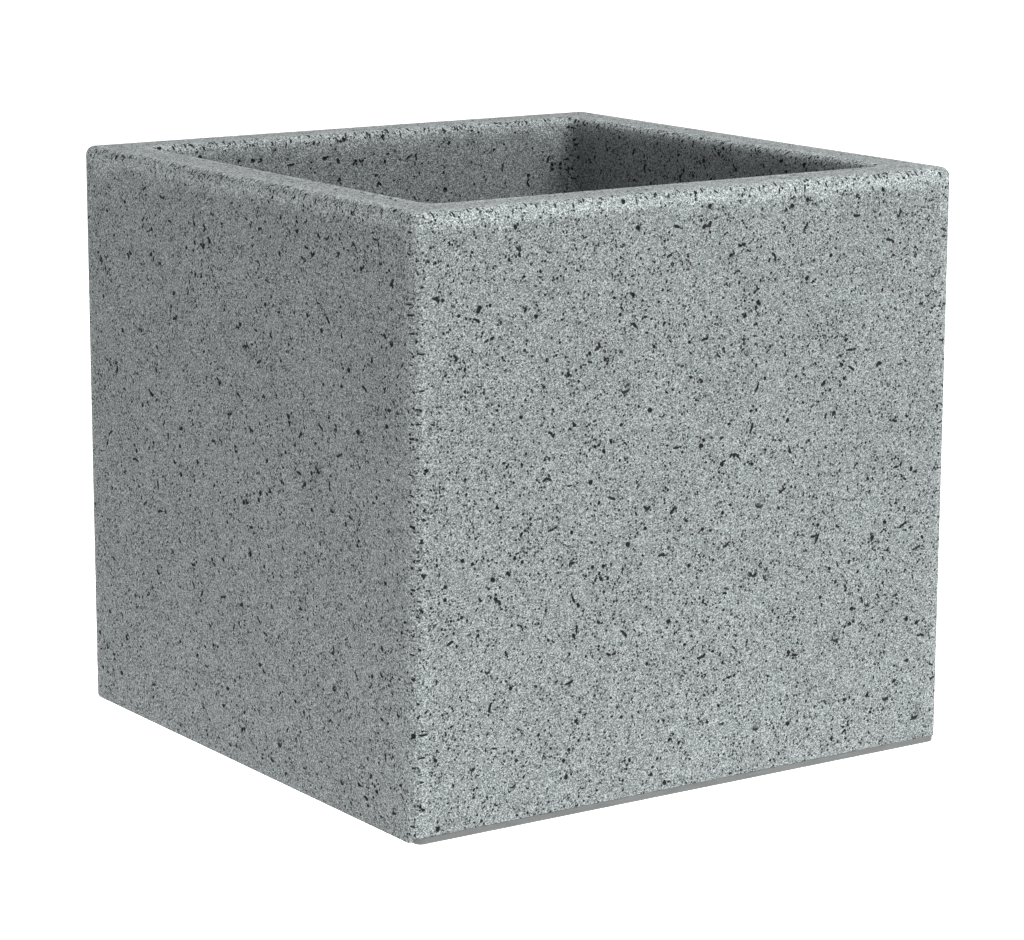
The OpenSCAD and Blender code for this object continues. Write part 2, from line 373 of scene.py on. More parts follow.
def add_specks(made, rng, count, starts, width, way_end):
    """The smallest holes, gathered in loose clouds, and fewer of them on the inner walls."""
    round_, way = scatter(rng, count, 4.5 * MM, way_end, width, 45 * MM, 0.45)
    kept = (way < starts[INNER_WALL]) | (rng.random(len(way)) < 0.55)
    round_, way = round_[kept], way[kept]
    many = len(way)
    size = rng.uniform(*SPECK, many) * MM
    made.add(
        round=round_,
        way=way,
        long=size,
        short=size * rng.uniform(0.65, 1, many),
        turn=any_turn(rng, many),
        depth=size * 0.75,
        dark=rng.uniform(0.5, 1, many),
    )


def add_holes(made, rng, count, width, way_end):
    """Round-bottomed holes, few of them large. Nearly half have a smaller one beside them."""
    round_, way = scatter(rng, count, 8 * MM, way_end, width, 60 * MM, 0.8)
    many = len(way)
    size = (0.9 + 0.85 * rng.random(many) ** 2.4) * MM
    made.add(
        round=round_,
        way=way,
        long=size,
        short=size * rng.uniform(0.55, 1, many),
        turn=any_turn(rng, many),
        depth=size * 0.8,
        dark=rng.uniform(0.75, 1, many),
    )
    beside = rng.random(many) < 0.45
    few = int(beside.sum())
    step = rng.normal(0, 1.9, (2, few)) * MM
    size = size[beside] * rng.uniform(0.5, 0.8, few)
    made.add(
        round=round_[beside] + step[0],
        way=way[beside] + step[1],
        long=size,
        short=size * 0.8,
        turn=any_turn(rng, few),
        depth=size * 0.8,
        dark=0.9,
    )


def add_craters(made, rng, count, low, high, left, side, outside):
    """Shallow ovals, mostly low on the outer walls, all leaning the same way."""
    share = rng.random(count) ** (1.7 if outside else 1)
    way = low + (high - low) * share
    round_ = left + rng.uniform(0.03, 0.97, count) * side
    size = rng.uniform(*CRATER, count) * MM
    made.add(
        round=round_,
        way=way,
        long=size,
        short=size * rng.uniform(0.62, 0.95, count),
        turn=rng.normal(1.2, 0.5, count),
        depth=size * 0.3,
        dark=0.07,
        lean=CRATER_LEAN + rng.normal(0, 0.35, count),
    )


def add_cracks(made, rng, count, low, high, left, side, outside):
    """Wandering cracks of up to five overlapping links, most of them near the rim."""
    share = 1 - 0.85 * rng.random(count) ** 1.4
    share = share if outside else 1 - share
    way = low + (high - low) * share
    round_ = left + rng.uniform(0.03, 0.97, count) * side
    heading = rng.normal(0, 0.75, count)
    bend = rng.normal(0, 0.2, count)
    for link in range(5):
        here = rng.random(count) < 1.15 - 0.17 * link
        size = rng.uniform(*CRACK_LINK, count) * MM
        made.add(
            round=round_[here],
            way=way[here],
            long=size[here] * 1.25,
            short=size[here] * 0.72,
            turn=heading[here],
            depth=size[here] * 0.7,
            dark=rng.uniform(0.6, 0.95, int(here.sum())),
        )
        round_ = round_ + CRACK_STEP * MM * np.cos(heading)
        way = way + CRACK_STEP * MM * np.sin(heading)
        heading = heading + bend + rng.normal(0, 0.35, count)


def spread(rng, count, low, high):
    """One random place in each of count equal steps from low to high."""
    return low + (high - low) * (np.arange(count) + rng.random(count)) / count


def add_upright_ticks(made, rng, count, low, high, middle):
    """Level nicks up an upright edge."""
    way = spread(rng, count, low, high)
    reach = rng.uniform(*UPRIGHT_TICK, count) * MM
    made.add(
        round=middle + rng.normal(0, 3.2, count) * MM,
        way=way,
        long=reach,
        short=rng.uniform(0.5, 0.75, count) * MM,
        turn=rng.normal(0, 0.16, count),
        depth=0.55 * MM,
        dark=rng.uniform(0.75, 1, count),
    )


def add_rim_ticks(made, rng, count, edge, left, side):
    """Nicks square across one of the rim's edges."""
    round_ = spread(rng, count, left, left + side)
    reach = rng.uniform(*RIM_TICK, count) * MM
    made.add(
        round=round_,
        way=edge + rng.normal(-0.3, 1.9, count) * MM,
        long=reach,
        short=rng.uniform(0.5, 0.7, count) * MM,
        turn=math.pi / 2 + rng.normal(0, 0.22, count),
        depth=0.6 * MM,
        dark=rng.uniform(0.75, 1, count),
    )


def make_pits(shape, pits, stretches):
    """Every pit of the skin: specks, holes, craters with a dark lower lip, cracks and edge nicks."""
    rng = np.random.default_rng(pits.seed)
    side = 2 * half_turn_length(shape)
    width = 4 * side
    starts = [s[0] for s in stretches]
    way_end = starts[FILLET] - BARE
    area = width * way_end / MM**2 / 1000
    made = Pits()
    add_specks(made, rng, int(pits.specks * area), starts, width, way_end)
    add_holes(made, rng, int(pits.pits * area), width, way_end)
    for wall in range(8):
        outside = wall < 4
        low, high = MARGIN, starts[RIM_OUTER] - MARGIN
        if not outside:
            low, high = starts[INNER_WALL] + 8 * MM, way_end
        left = (wall % 4 - 0.5) * side
        craters = pits.craters if outside else pits.craters // 2
        add_craters(made, rng, craters, low, high, left, side, outside)
        add_cracks(made, rng, pits.cracks, low, high, left, side, outside)
    for corner in range(4):
        middle = (corner + 0.5) * side
        add_upright_ticks(made, rng, pits.ticks, 10 * MM, starts[RIM_OUTER], middle)
        add_upright_ticks(made, rng, pits.ticks, starts[INNER_WALL], way_end, middle)
        for rounding in (RIM_OUTER, RIM_INNER):
            edge = 0.5 * (starts[rounding] + starts[rounding + 1])
            add_rim_ticks(made, rng, int(1.3 * pits.ticks), edge, (corner - 0.5) * side, side)
    table = made.table()
    way = table[:, 1]
    return table[(way > BARE) & (way < way_end)]


def stretch_across(shape, stretches, way):
    """How much the skin is drawn together across, at each way along, against the outer wall."""
    core = profile(stretches, way)[2]
    return np.clip(core / (SHELL_HIGH.x - shape.upright), 0.3, 1)


def dish(across, along, pit):
    """Depth and darkness, partly painted shade, of an oval dish at offsets from its middle.

    With q the distance from the middle as a share of the oval's radius there, waved a little, the depth
    is (1 - q^2)^0.8 of the full depth. A leaning dish, a crater, is shallow and pale but for its lip,
    where q is near LIP: the lip gets faint painted shade, and on the side that it leans to it is a
    groove with dark painted shade.
    """
    long, short, turn, depth, dark, lean = (pit[..., i] for i in range(2, 8))
    crater = lean != 0
    a = (across * np.cos(turn) + along * np.sin(turn)) / long
    b = (along * np.cos(turn) - across * np.sin(turn)) / short
    angle = np.arctan2(b, a)
    waves = np.cos(2 * angle + 9e3 * long) + np.cos(3 * angle + 2e4 * short)
    q = np.hypot(a, b) * (1 + np.where(crater, 0.03, 0.1) * waves)
    inside = np.clip(1 - q * q, 0, 1)
    shade = dark * np.clip(inside * 2.6, 0, 1)
    towards = np.cos(np.arctan2(along, across) - lean)
    lip = np.exp(-(((q - LIP) / LIP_WIDTH) ** 2)) * crater
    groove = np.clip(towards + 0.1, 0, 1) ** 1.5 * lip
    down = depth * inside**0.8 + GROOVE * groove
    return down, np.maximum(shade, np.maximum(0.9 * groove, 0.27 * lip))


def relief_maps(shape, stretches, table):
    """Depth and darkness, partly painted shade, of the unrolled skin on a fine grid. Where pits overlap,
    the deeper counts.

    Pits whose reach is the same multiple of four cells are pressed in together.
    """
    width = 8 * half_turn_length(shape)
    columns = int(round(width / RASTER))
    rows = int(stretches[FILLET][0] / RASTER) + SPARE_ROWS
    depth = np.zeros(columns * rows, np.float32)
    dark = np.zeros(columns * rows, np.float32)
    reach = np.ceil(table[:, 2] * 1.45 / RASTER / 4).astype(int) * 4
    drawn = stretch_across(shape, stretches, table[:, 1])
    cell = width / columns
    for size in np.unique(reach):
        group = reach == size
        pits = table[group]
        narrow = drawn[group]
        widest = int(math.ceil(size / narrow.min()))
        base_u = np.round(pits[:, 0] / cell).astype(int)
        base_v = np.round(pits[:, 1] / RASTER).astype(int)
        u = base_u[:, None, None] + np.arange(-widest, widest + 1)[None, None, :]
        v = base_v[:, None, None] + np.arange(-size, size + 1)[None, :, None]
        across = (u * cell - pits[:, 0][:, None, None]) * narrow[:, None, None]
        along = v * RASTER - pits[:, 1][:, None, None]
        down, shade = dish(across, along, pits[:, None, None, :])
        index = np.clip(v, 0, rows - 1) * columns + u % columns
        index = np.broadcast_to(index, down.shape).ravel()
        np.maximum.at(depth, index, down.ravel().astype(np.float32))
        np.maximum.at(dark, index, shade.ravel().astype(np.float32))
    return depth.reshape(rows, columns), dark.reshape(rows, columns)


def sample(raster, width, round_, way):
    """Bilinear reading of a map at any place on the unrolled skin, nothing beyond its last row."""
    rows, columns = raster.shape
    u = round_ / width * columns
    v = np.clip(way / RASTER, 0, rows - 1.001)
    u0, v0 = np.floor(u).astype(int), np.floor(v).astype(int)
    fu, fv = u - u0, v - v0
    left, right = u0 % columns, (u0 + 1) % columns
    value = (raster[v0, left] * (1 - fu) + raster[v0, right] * fu) * (1 - fv)
    value += (raster[v0 + 1, left] * (1 - fu) + raster[v0 + 1, right] * fu) * fv
    return np.where(way / RASTER < rows - 2, value, 0)


def pit_points(shape, stretches, table):
    """Places for mesh points on every pit: rings round it, the outermost first, and its middle.

    A third column is 1 where the point lies on the pit's outermost ring, on the untouched skin.
    """
    drawn = stretch_across(shape, stretches, table[:, 1])
    size = table[:, 2]
    # which pits, and for each ring its share of the pit's radius and its number of points
    plans = (
        (size < SMALL, ((1.16, 6), (0.66, 5))),
        ((size >= SMALL) & (size < LARGE), ((1.16, 9), (0.84, 8), (0.45, 5))),
        (size >= LARGE, ((1.15, 18), (1.0, 18), (0.88, 18), (0.74, 16), (0.55, 8), (0.3, 5))),
    )
    outer, inner = [], []
    for chosen, rings in plans:
        pits, narrow = table[chosen], drawn[chosen]
        inner.append(np.stack([pits[:, 0], pits[:, 1], np.zeros(len(pits))], -1))
        for k, (share, count) in enumerate(rings):
            angle = (np.arange(count) + 0.5 * (k % 2)) * 2 * math.pi / count
            a = share * pits[:, 2:3] * np.cos(angle)
            b = share * pits[:, 3:4] * np.sin(angle)
            turn = pits[:, 4:5]
            across = (a * np.cos(turn) - b * np.sin(turn)) / narrow[:, None]
            along = a * np.sin(turn) + b * np.cos(turn)
            rim = np.full(across.shape, 1.0 if k == 0 else 0.0)
            ring = np.stack([pits[:, :1] + across, pits[:, 1:2] + along, rim], -1).reshape(-1, 3)
            (inner if k else outer).append(ring)
    return np.concatenate(outer + inner)


def lattice(shape, stretches, reach):
    """Evenly laid points that hold the roundings, the mitres and the plain hidden surfaces in shape."""
    straight = SHELL_HIGH.x - shape.upright
    arc = np.linspace(straight, reach, 4)
    plain = np.linspace(-straight, straight, 9)[1:-1]
    dense = np.linspace(-straight, straight, int(2 * straight / EVEN_STEP) + 1)[1:-1]
    corner = np.concatenate([-arc[::-1], arc])
    wide = np.concatenate([corner, plain])
    full = np.concatenate([corner, dense])
    starts = [s[0] for s in stretches]
    end = starts[-1] + stretches[-1][1]
    wall, rim_outer, rim_top, rim_inner, inner_wall, fillet, floor = starts[WALL : FLOOR + 1]
    pieces = []

    def rows(ways, columns):
        grid = np.meshgrid(columns, ways)
        pieces.append(np.stack([grid[0].ravel(), grid[1].ravel()], -1))

    rows(np.linspace(starts[0], wall, 4), full)
    rows([end], full)
    rows(np.linspace(rim_outer, rim_top, 7), full)
    rows(np.linspace(rim_inner, inner_wall, 6), full)
    rows(np.linspace(rim_top, rim_inner, 5)[1:-1], corner)
    first = math.ceil((wall + 0.4 * EVEN_STEP) / EVEN_STEP)
    last = int((rim_outer - 0.4 * EVEN_STEP) / EVEN_STEP)
    rows(EVEN_STEP * np.arange(first, last + 1), corner)
    last = int((fillet - inner_wall) / EVEN_STEP - 0.4)
    rows(fillet - EVEN_STEP * np.arange(0, last + 1), corner)
    rows(np.linspace(fillet, floor, 4)[1:], wide)
    for start in starts[FLOOR + 1 :]:
        rows([start], wide)
    return np.concatenate(pieces)


def thinned(points, cell):
    """The points with at most one in each square cell, the first one given."""
    keys = np.floor(points[:, :2] / cell).astype(np.int64)
    _, first = np.unique(keys[:, 0] * 10**7 + keys[:, 1], return_index=True)
    return points[np.sort(first)]


def stranded(across, way, faces):
    """True for points with a neighbour too far away, which would draw a pit out into a wedge."""
    far = np.zeros(len(across), bool)
    for k in range(3):
        one, two = faces[:, k], faces[:, (k + 1) % 3]
        long = np.hypot(across[one] - across[two], way[one] - way[two]) > LONGEST
        far[one[long]] = True
        far[two[long]] = True
    return far


def painted_light_mask(shape, stretches, across, way):
    """How much painted light the skin gets: a painted highlight on the rim's roundings and the upright
    ones, and painted light on the rim's flat top.

    1 on the rim's roundings and 0.4 on the upright ones, fading to 0 beyond them; on the rim's flat top
    it never falls below 0.5.
    """
    starts = [s[0] for s in stretches]
    outer = (starts[RIM_OUTER] + starts[RIM_TOP]) / 2
    inner = (starts[RIM_INNER] + starts[INNER_WALL]) / 2
    from_rim = np.minimum(
        np.abs(way - outer) - (starts[RIM_TOP] - starts[RIM_OUTER]) / 2,
        np.abs(way - inner) - (starts[INNER_WALL] - starts[RIM_INNER]) / 2,
    )
    from_upright = SHELL_HIGH.x - shape.upright - np.abs(across)
    rim, upright = (np.clip(1 - np.clip(gap, 0, None) / FADE, 0, 1) for gap in (from_rim, from_upright))
    # painted light on the rim's flat top
    flat = np.where((way > outer) & (way < inner), 0.5, 0)
    return np.maximum.reduce((rim, 0.4 * upright, flat))


def side_mesh(shape, stretches, side, maps, candidates):
    """One side of the shell as a closed mesh, between the two mitres at its ends.

    Points are spread over the unrolled side, joined by a Delaunay triangulation there, and carried to
    S(across, way). The last row lies on the first, and a flat cap closes each mitre. Gives the points,
    their faces, their normals and their layers for the finish.
    """
    depth_map, dark_map = maps
    reach = half_turn_length(shape)
    width = 8 * reach
    middle = side * 2 * reach
    grid = lattice(shape, stretches, reach)
    grid = np.concatenate([grid, np.zeros((len(grid), 1))], -1)
    across = (candidates[:, 0] - middle + width / 2) % width - width / 2
    near = (np.abs(across) < reach - EDGE_GAP) & (candidates[:, 1] > stretches[0][0] + EDGE_GAP)
    near &= candidates[:, 1] < stretches[FILLET][0] - EDGE_GAP
    own = np.stack([across[near], candidates[near, 1], candidates[near, 2]], -1)
    points = np.concatenate([grid, thinned(own, CLOSEST)])
    found = delaunay_2d_cdt((points[:, :2] / MM).tolist(), [], [], 0, 1e-3)
    flat = np.array(found[0]) * MM
    faces = np.array(found[2])
    origin = np.array([o[0] if o else -1 for o in found[3]])
    on_ring = points[origin, 2] > 0.5
    across, way = flat[:, 0], flat[:, 1]
    round_ = middle + across
    depth = sample(depth_map, width, round_, way)
    dark = sample(dark_map, width, round_, way)
    hop = 0.6 * RASTER

    def rise(step_round, step_way):
        ahead = sample(depth_map, width, round_ + step_round, way + step_way)
        behind = sample(depth_map, width, round_ - step_round, way - step_way)
        return (ahead - behind) / (2 * hop)

    slope_way = rise(0, hop)
    slope_across = rise(hop, 0) / stretch_across(shape, stretches, way)
    plain = on_ring & (dark < 0.4) & (depth < SHALLOW)
    plain |= (depth < TOUCHED) | stranded(across, way, faces)
    slope_way = np.where(plain, 0, np.clip(slope_way, -STEEPEST, STEEPEST))
    slope_across = np.where(plain, 0, np.clip(slope_across, -STEEPEST, STEEPEST))
    depth = np.where(plain, 0, depth)
    dark = np.where(plain, 0, dark)
    position, normal = side_surface(
        shape, stretches, side, across, way, depth, slope_across, slope_way
    )
    last = stretches[-1][0] + stretches[-1][1]
    faces = close_side(position, faces, across, way, last, reach)
    # The layers: the pits' darkness, partly painted shade, and the painted highlight on the roundings
    # with painted light on the rim's top.
    return position, faces, normal, {"pit": dark, "painted_light": painted_light_mask(shape, stretches, across, way)}


def close_side(position, faces, across, way, last, reach):
    """Joins the last row to the first and caps both mitres. Gives the faces, all pointing outwards."""
    tiny = 1e-7
    joined = np.arange(len(position))
    first_row = np.flatnonzero(np.abs(way - way.min()) < tiny)
    last_row = np.flatnonzero(np.abs(way - last) < tiny)
    first_row = first_row[np.argsort(across[first_row])]
    last_row = last_row[np.argsort(across[last_row])]
    if len(first_row) != len(last_row):
        raise RuntimeError("the shell's first and last rows have different numbers of points")
    joined[last_row] = first_row
    faces = joined[faces]
    caps = []
    for sign in (-1, 1):
        edge = np.flatnonzero((np.abs(across - sign * reach) < tiny) & (way < last - tiny))
        edge = edge[np.argsort(way[edge])]
        out = np.hypot(position[edge, 0], position[edge, 1])
        flat = np.stack([out, position[edge, 2]], -1) / MM
        count = len(edge)
        ring = [(i, (i + 1) % count) for i in range(count)]
        filled = delaunay_2d_cdt(flat.tolist(), ring, [], 1, 1e-5)
        if len(filled[0]) != count:
            raise RuntimeError("the mitre's cap has gained or lost points")
        names = np.array([o[0] for o in filled[3]])
        triangles = edge[names[np.array(filled[2])]]
        caps.append(triangles if sign > 0 else triangles[:, ::-1])
    return np.concatenate([faces] + caps)


def make_object(name, points, faces, normals=None, layers=None):
    """A mesh object at the origin, from arrays of points, triangles, normals and named point layers."""
    used = np.unique(faces)
    places = np.full(len(points), -1)
    places[used] = np.arange(len(used))
    faces = places[faces]
    mesh = bpy.data.meshes.new(name)
    mesh.vertices.add(len(used))
    mesh.vertices.foreach_set("co", points[used].astype(np.float32).ravel())
    mesh.loops.add(faces.size)
    mesh.loops.foreach_set("vertex_index", faces.astype(np.int32).ravel())
    mesh.polygons.add(len(faces))
    mesh.polygons.foreach_set("loop_start", np.arange(0, faces.size, 3, dtype=np.int32))
    mesh.update(calc_edges=True)
    mesh.validate()
    mesh.polygons.foreach_set("use_smooth", np.ones(len(mesh.polygons), bool))
    for key, values in (layers or {}).items():
        layer = mesh.attributes.new(key, "FLOAT", "POINT")
        layer.data.foreach_set("value", values[used].astype(np.float32))
    if normals is not None:
        mesh.normals_split_custom_set_from_vertices(normals[used].astype(np.float32).tolist())
    thing = bpy.data.objects.new(name, mesh)
    bpy.context.scene.collection.objects.link(thing)
    return thing


# Finishes


class Nodes:
    """Short names for building a node tree."""

    def __init__(self, name):
        self.material = bpy.data.materials.new(name)
        self.material.use_nodes = True
        self.tree = self.material.node_tree
        self.shader = self.tree.nodes["Principled BSDF"]
        self.coords = self.add("ShaderNodeTexCoord").outputs["Object"]

    def add(self, kind, **settings):
        node = self.tree.nodes.new(kind)
        for key, value in settings.items():
            setattr(node, key, value)
        return node

    def join(self, source, target):
        self.tree.links.new(source, target)

    def noise(self, scale, detail=2.0, roughness=0.5, where=None):
        node = self.add("ShaderNodeTexNoise")
        node.inputs["Scale"].default_value = scale
        node.inputs["Detail"].default_value = detail
        node.inputs["Roughness"].default_value = roughness
        self.join(where or self.coords, node.inputs["Vector"])
        return node.outputs["Fac"]

    def cells(self, scale):
        """Random cells: the distance from each cell's middle, and two random numbers for the cell."""
        node = self.add("ShaderNodeTexVoronoi")
        node.inputs["Scale"].default_value = scale
        self.join(self.coords, node.inputs["Vector"])
        chance = self.add("ShaderNodeSeparateColor")
        self.join(node.outputs["Color"], chance.inputs["Color"])
        return node.outputs["Distance"], chance.outputs["Red"], chance.outputs["Green"]

    def ramp(self, value, low, high, low_to=0.0, high_to=1.0):
        """A smooth step from low_to to high_to, as the value goes from low to high."""
        node = self.add("ShaderNodeMapRange", interpolation_type="SMOOTHSTEP")
        self.join(value, node.inputs["Value"])
        ends = {"From Min": low, "From Max": high, "To Min": low_to, "To Max": high_to}
        for key, end in ends.items():
            node.inputs[key].default_value = end
        return node.outputs["Result"]

    def math(self, how, first, second):
        node = self.add("ShaderNodeMath", operation=how)
        for socket, value in zip(node.inputs, (first, second)):
            if isinstance(value, (int, float)):
                socket.default_value = value
            else:
                self.join(value, socket)
        return node.outputs[0]

    def mix(self, factor, first, second):
        node = self.add("ShaderNodeMix", data_type="RGBA")
        sockets = (node.inputs[0], node.inputs[6], node.inputs[7])  # the factor and the two colours
        for socket, value in zip(sockets, (factor, first, second)):
            if isinstance(value, bpy.types.NodeSocket):
                self.join(value, socket)
            else:
                socket.default_value = (*value, 1)
        return node.outputs[2]

    def attribute(self, name):
        return self.add("ShaderNodeAttribute", attribute_name=name).outputs["Fac"]

    def bump(self, height, distance, strength):
        node = self.add("ShaderNodeBump")
        node.inputs["Strength"].default_value = strength
        node.inputs["Distance"].default_value = distance
        self.join(height, node.inputs["Height"])
        return node.outputs["Normal"]

    def finish(self, colour, roughness, normal):
        """Joins the three to the shader and gives the finished material."""
        self.join(colour, self.shader.inputs["Base Color"])
        self.join(roughness, self.shader.inputs["Roughness"])
        self.join(normal, self.shader.inputs["Normal"])
        return self.material


def times(colour, factor):
    return tuple(factor * c for c in colour)


def stone_finish(colours):
    """Moulded stone: sharp salt-and-pepper grain, scattered dark pinholes, soft clouds and dark pits;
    the dark in the pinholes and the pits is partly their own and partly painted shade.

    The skin is paler under the painted light: a painted highlight on the roundings and painted light on
    the rim's top. Scales are numbers for each metre.
    """
    n = Nodes("stone_skin")
    _, sparkle, _ = n.cells(1650)
    coarse = n.noise(1150, 2.0, 0.6)
    cloud = n.noise(16, 3.0, 0.55)
    patch = n.noise(70, 2.0, 0.5)
    grain = n.math("ADD", n.math("MULTIPLY", sparkle, 0.58), n.math("MULTIPLY", coarse, 0.42))
    body = n.mix(n.ramp(grain, 0.5, 0.8), colours.stone, colours.pale)
    body = n.mix(n.ramp(grain, 0.5, 0.2), body, colours.dark)
    # Pinholes: tiny dents in the pits' colour, partly their own dark and partly painted shade
    from_hole, _, chance = n.cells(620)
    radius = n.math("MULTIPLY", n.ramp(n.noise(110, 1.0), 0.36, 0.62, 0.30, 0.52), chance)
    pinhole = n.ramp(n.math("SUBTRACT", from_hole, radius), -0.04, 0.04, 1.0, 0.0)
    body = n.mix(n.math("MULTIPLY", pinhole, 0.92), body, colours.pit)
    clouds = n.ramp(cloud, 0.3, 0.7, -0.035, 0.035)
    patches = n.ramp(patch, 0.3, 0.7, -0.015, 0.015)
    # Painted highlight on the roundings and painted light on the rim's top, up to half again brighter
    painted_light_gain = n.ramp(n.attribute("painted_light"), 0.0, 1.0, 1.0, 1.5)
    tinted = n.add("ShaderNodeHueSaturation")
    n.join(n.math("ADD", n.math("ADD", clouds, patches), painted_light_gain), tinted.inputs["Value"])
    n.join(body, tinted.inputs["Color"])
    # Painted shade in the pits, cracks and nicks, over their own dark bottoms
    pit_shade = n.ramp(n.attribute("pit"), 0.04, 0.42)
    height = n.math("SUBTRACT", grain, n.math("MULTIPLY", pinhole, 0.6))
    n.shader.inputs["Specular IOR Level"].default_value = 0.2
    return n.finish(
        n.mix(pit_shade, tinted.outputs["Color"], colours.pit),
        n.ramp(grain, 0.3, 0.7, 0.78, 0.52),
        n.bump(height, 0.0011, 0.75),
    )


def band_finish(colours):
    """Smooth moulded plastic: faint drawn streaks, squeezed upwards, and dull blotches."""
    n = Nodes("smooth_plastic")
    stretched = n.add("ShaderNodeMapping")
    stretched.inputs["Scale"].default_value = (1, 1, 14)
    n.join(n.coords, stretched.inputs["Vector"])
    streak = n.noise(60, 3.0, 0.6, stretched.outputs["Vector"])
    blotch = n.noise(38, 2.0)
    fine = n.noise(1500, 2.0)
    body = n.mix(n.ramp(streak, 0.35, 0.65), colours.band, times(colours.band, 0.78))
    return n.finish(
        n.mix(n.ramp(blotch, 0.5, 0.75, 0.0, 0.6), body, times(colours.band, 1.15)),
        n.ramp(blotch, 0.3, 0.7, 0.5, 0.66),
        n.bump(n.math("ADD", streak, fine), 0.0002, 0.4),
    )


def plastic_finish(colours):
    """Black moulded plastic with a fine spark-eroded grain and a little dust."""
    n = Nodes("black_plastic")
    grain = n.noise(1300, 3.0, 0.6)
    dust = n.noise(45, 4.0, 0.65)
    return n.finish(
        n.mix(n.ramp(dust, 0.5, 0.8, 0.0, 0.7), colours.plastic, times(colours.plastic, 2.6)),
        n.ramp(grain, 0.3, 0.7, 0.42, 0.58),
        n.bump(grain, 0.00025, 0.5),
    )


def rubber_finish(colours):
    """Matt rubber with a faint bloom."""
    n = Nodes("black_rubber")
    bloom = n.noise(120, 3.0, 0.6)
    fine = n.noise(1700, 2.0)
    return n.finish(
        n.mix(n.ramp(bloom, 0.45, 0.8, 0.0, 0.8), colours.rubber, times(colours.rubber, 2.4)),
        n.ramp(bloom, 0.3, 0.7, 0.7, 0.9),
        n.bump(fine, 0.0002, 0.35),
    )


def steel_finish(colours):
    """Zinc plated steel, lightly scratched by the driver."""
    n = Nodes("zinc_steel")
    cloud = n.noise(260, 3.0, 0.6)
    scratch = n.noise(2200, 2.0)
    n.shader.inputs["Metallic"].default_value = 1.0
    return n.finish(
        n.mix(n.ramp(cloud, 0.4, 0.7), colours.steel, times(colours.steel, 0.6)),
        n.ramp(scratch, 0.3, 0.7, 0.22, 0.44),
        n.bump(scratch, 0.0001, 0.3),
    )


def dress(finish, *nodes):
    """Gives CAD nodes a finish in place of their plain colour."""
    for name in nodes:
        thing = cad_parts[name]
        thing.data.materials.clear()
        thing.data.materials.append(finish)


# Operators: one for the stage, and one for each piece or group of like pieces


class PLANTER_OT_stage(bpy.types.Operator):
    """Pale floor, soft studio light and the camera"""

    bl_idname = "planter.stage"
    bl_label = "Stage"

    def execute(self, context):
        studio = context.scene.planter_studio
        self.camera(context.scene, studio)
        self.floor(studio)
        self.light(context.scene, studio)
        context.scene.view_settings.view_transform = "Standard"
        return {"FINISHED"}

    def camera(self, scene, studio):
        """Looks along the azimuth and the elevation at a point near the middle of the box."""
        turn, rise, roll = (math.radians(a) for a in (studio.azimuth, studio.elevation, studio.roll))
        back = Vector(
            (math.sin(turn) * math.cos(rise), -math.cos(turn) * math.cos(rise), math.sin(rise))
        )
        right = Vector((math.cos(turn), math.sin(turn), 0))
        up = back.cross(right)
        aim = Vector((0, 0, SHELL_LOW.z)) + studio.aside * right + studio.above * up
        rolled_right = math.cos(roll) * right + math.sin(roll) * up
        rolled_up = math.cos(roll) * up - math.sin(roll) * right
        data = bpy.data.cameras.new("camera")
        data.lens = studio.lens
        data.clip_start, data.clip_end = 0.05, 40
        camera = bpy.data.objects.new("camera", data)
        axes = Matrix((rolled_right, rolled_up, back)).transposed()
        camera.matrix_world = Matrix.Translation(aim + studio.distance * back) @ axes.to_4x4()
        scene.collection.objects.link(camera)
        scene.camera = camera

    def floor(self, studio):
        """A pale round floor, rings of points at height 0, that glows round the box as a light table."""
        rings = np.linspace(0, FLOOR_RADIUS, 15)
        radius, angle = np.meshgrid(rings, np.linspace(0, 2 * math.pi, 97))
        points = np.stack([radius * np.cos(angle), radius * np.sin(angle), 0 * radius], -1)
        rows, columns = radius.shape
        corner = (np.arange(rows - 1)[:, None] * columns + np.arange(columns - 1)[None, :]).ravel()
        first = np.stack([corner, corner + 1, corner + columns + 1], -1)
        second = np.stack([corner, corner + columns + 1, corner + columns], -1)
        floor = make_object("floor", points.reshape(-1, 3), np.concatenate([first, second]))
        n = Nodes("pale_floor")
        tone = n.ramp(n.noise(3.0, 2.0), 0.3, 0.7)
        n.join(n.mix(tone, (0.90, 0.90, 0.90), (0.93, 0.93, 0.93)), n.shader.inputs["Base Color"])
        n.shader.inputs["Roughness"].default_value = 0.9
        n.shader.inputs["Specular IOR Level"].default_value = 0.1
        far = n.add("ShaderNodeVectorMath", operation="LENGTH")
        n.join(n.coords, far.inputs[0])
        n.shader.inputs["Emission Color"].default_value = (1, 1, 1, 1)
        glow = n.ramp(far.outputs["Value"], *GLOW, studio.table, studio.rest)
        n.join(glow, n.shader.inputs["Emission Strength"])
        floor.data.materials.append(n.material)

    def light(self, scene, studio):
        """White surroundings and one broad, soft key light, high at the front right."""
        world = bpy.data.worlds.new("surroundings")
        world.use_nodes = True
        background = world.node_tree.nodes["Background"]
        background.inputs["Color"].default_value = (1, 1, 1, 1)
        background.inputs["Strength"].default_value = studio.sky
        scene.world = world
        data = bpy.data.lights.new("key", "AREA")
        data.shape = "RECTANGLE"
        data.size, data.size_y = KEY_SIZE, KEY_SIZE
        data.energy = studio.key
        key = bpy.data.objects.new("key", data)
        facing = (KEY_AIM - KEY_PLACE).to_track_quat("-Z", "Y").to_matrix()
        key.matrix_world = Matrix.Translation(KEY_PLACE) @ facing.to_4x4()
        scene.collection.objects.link(key)


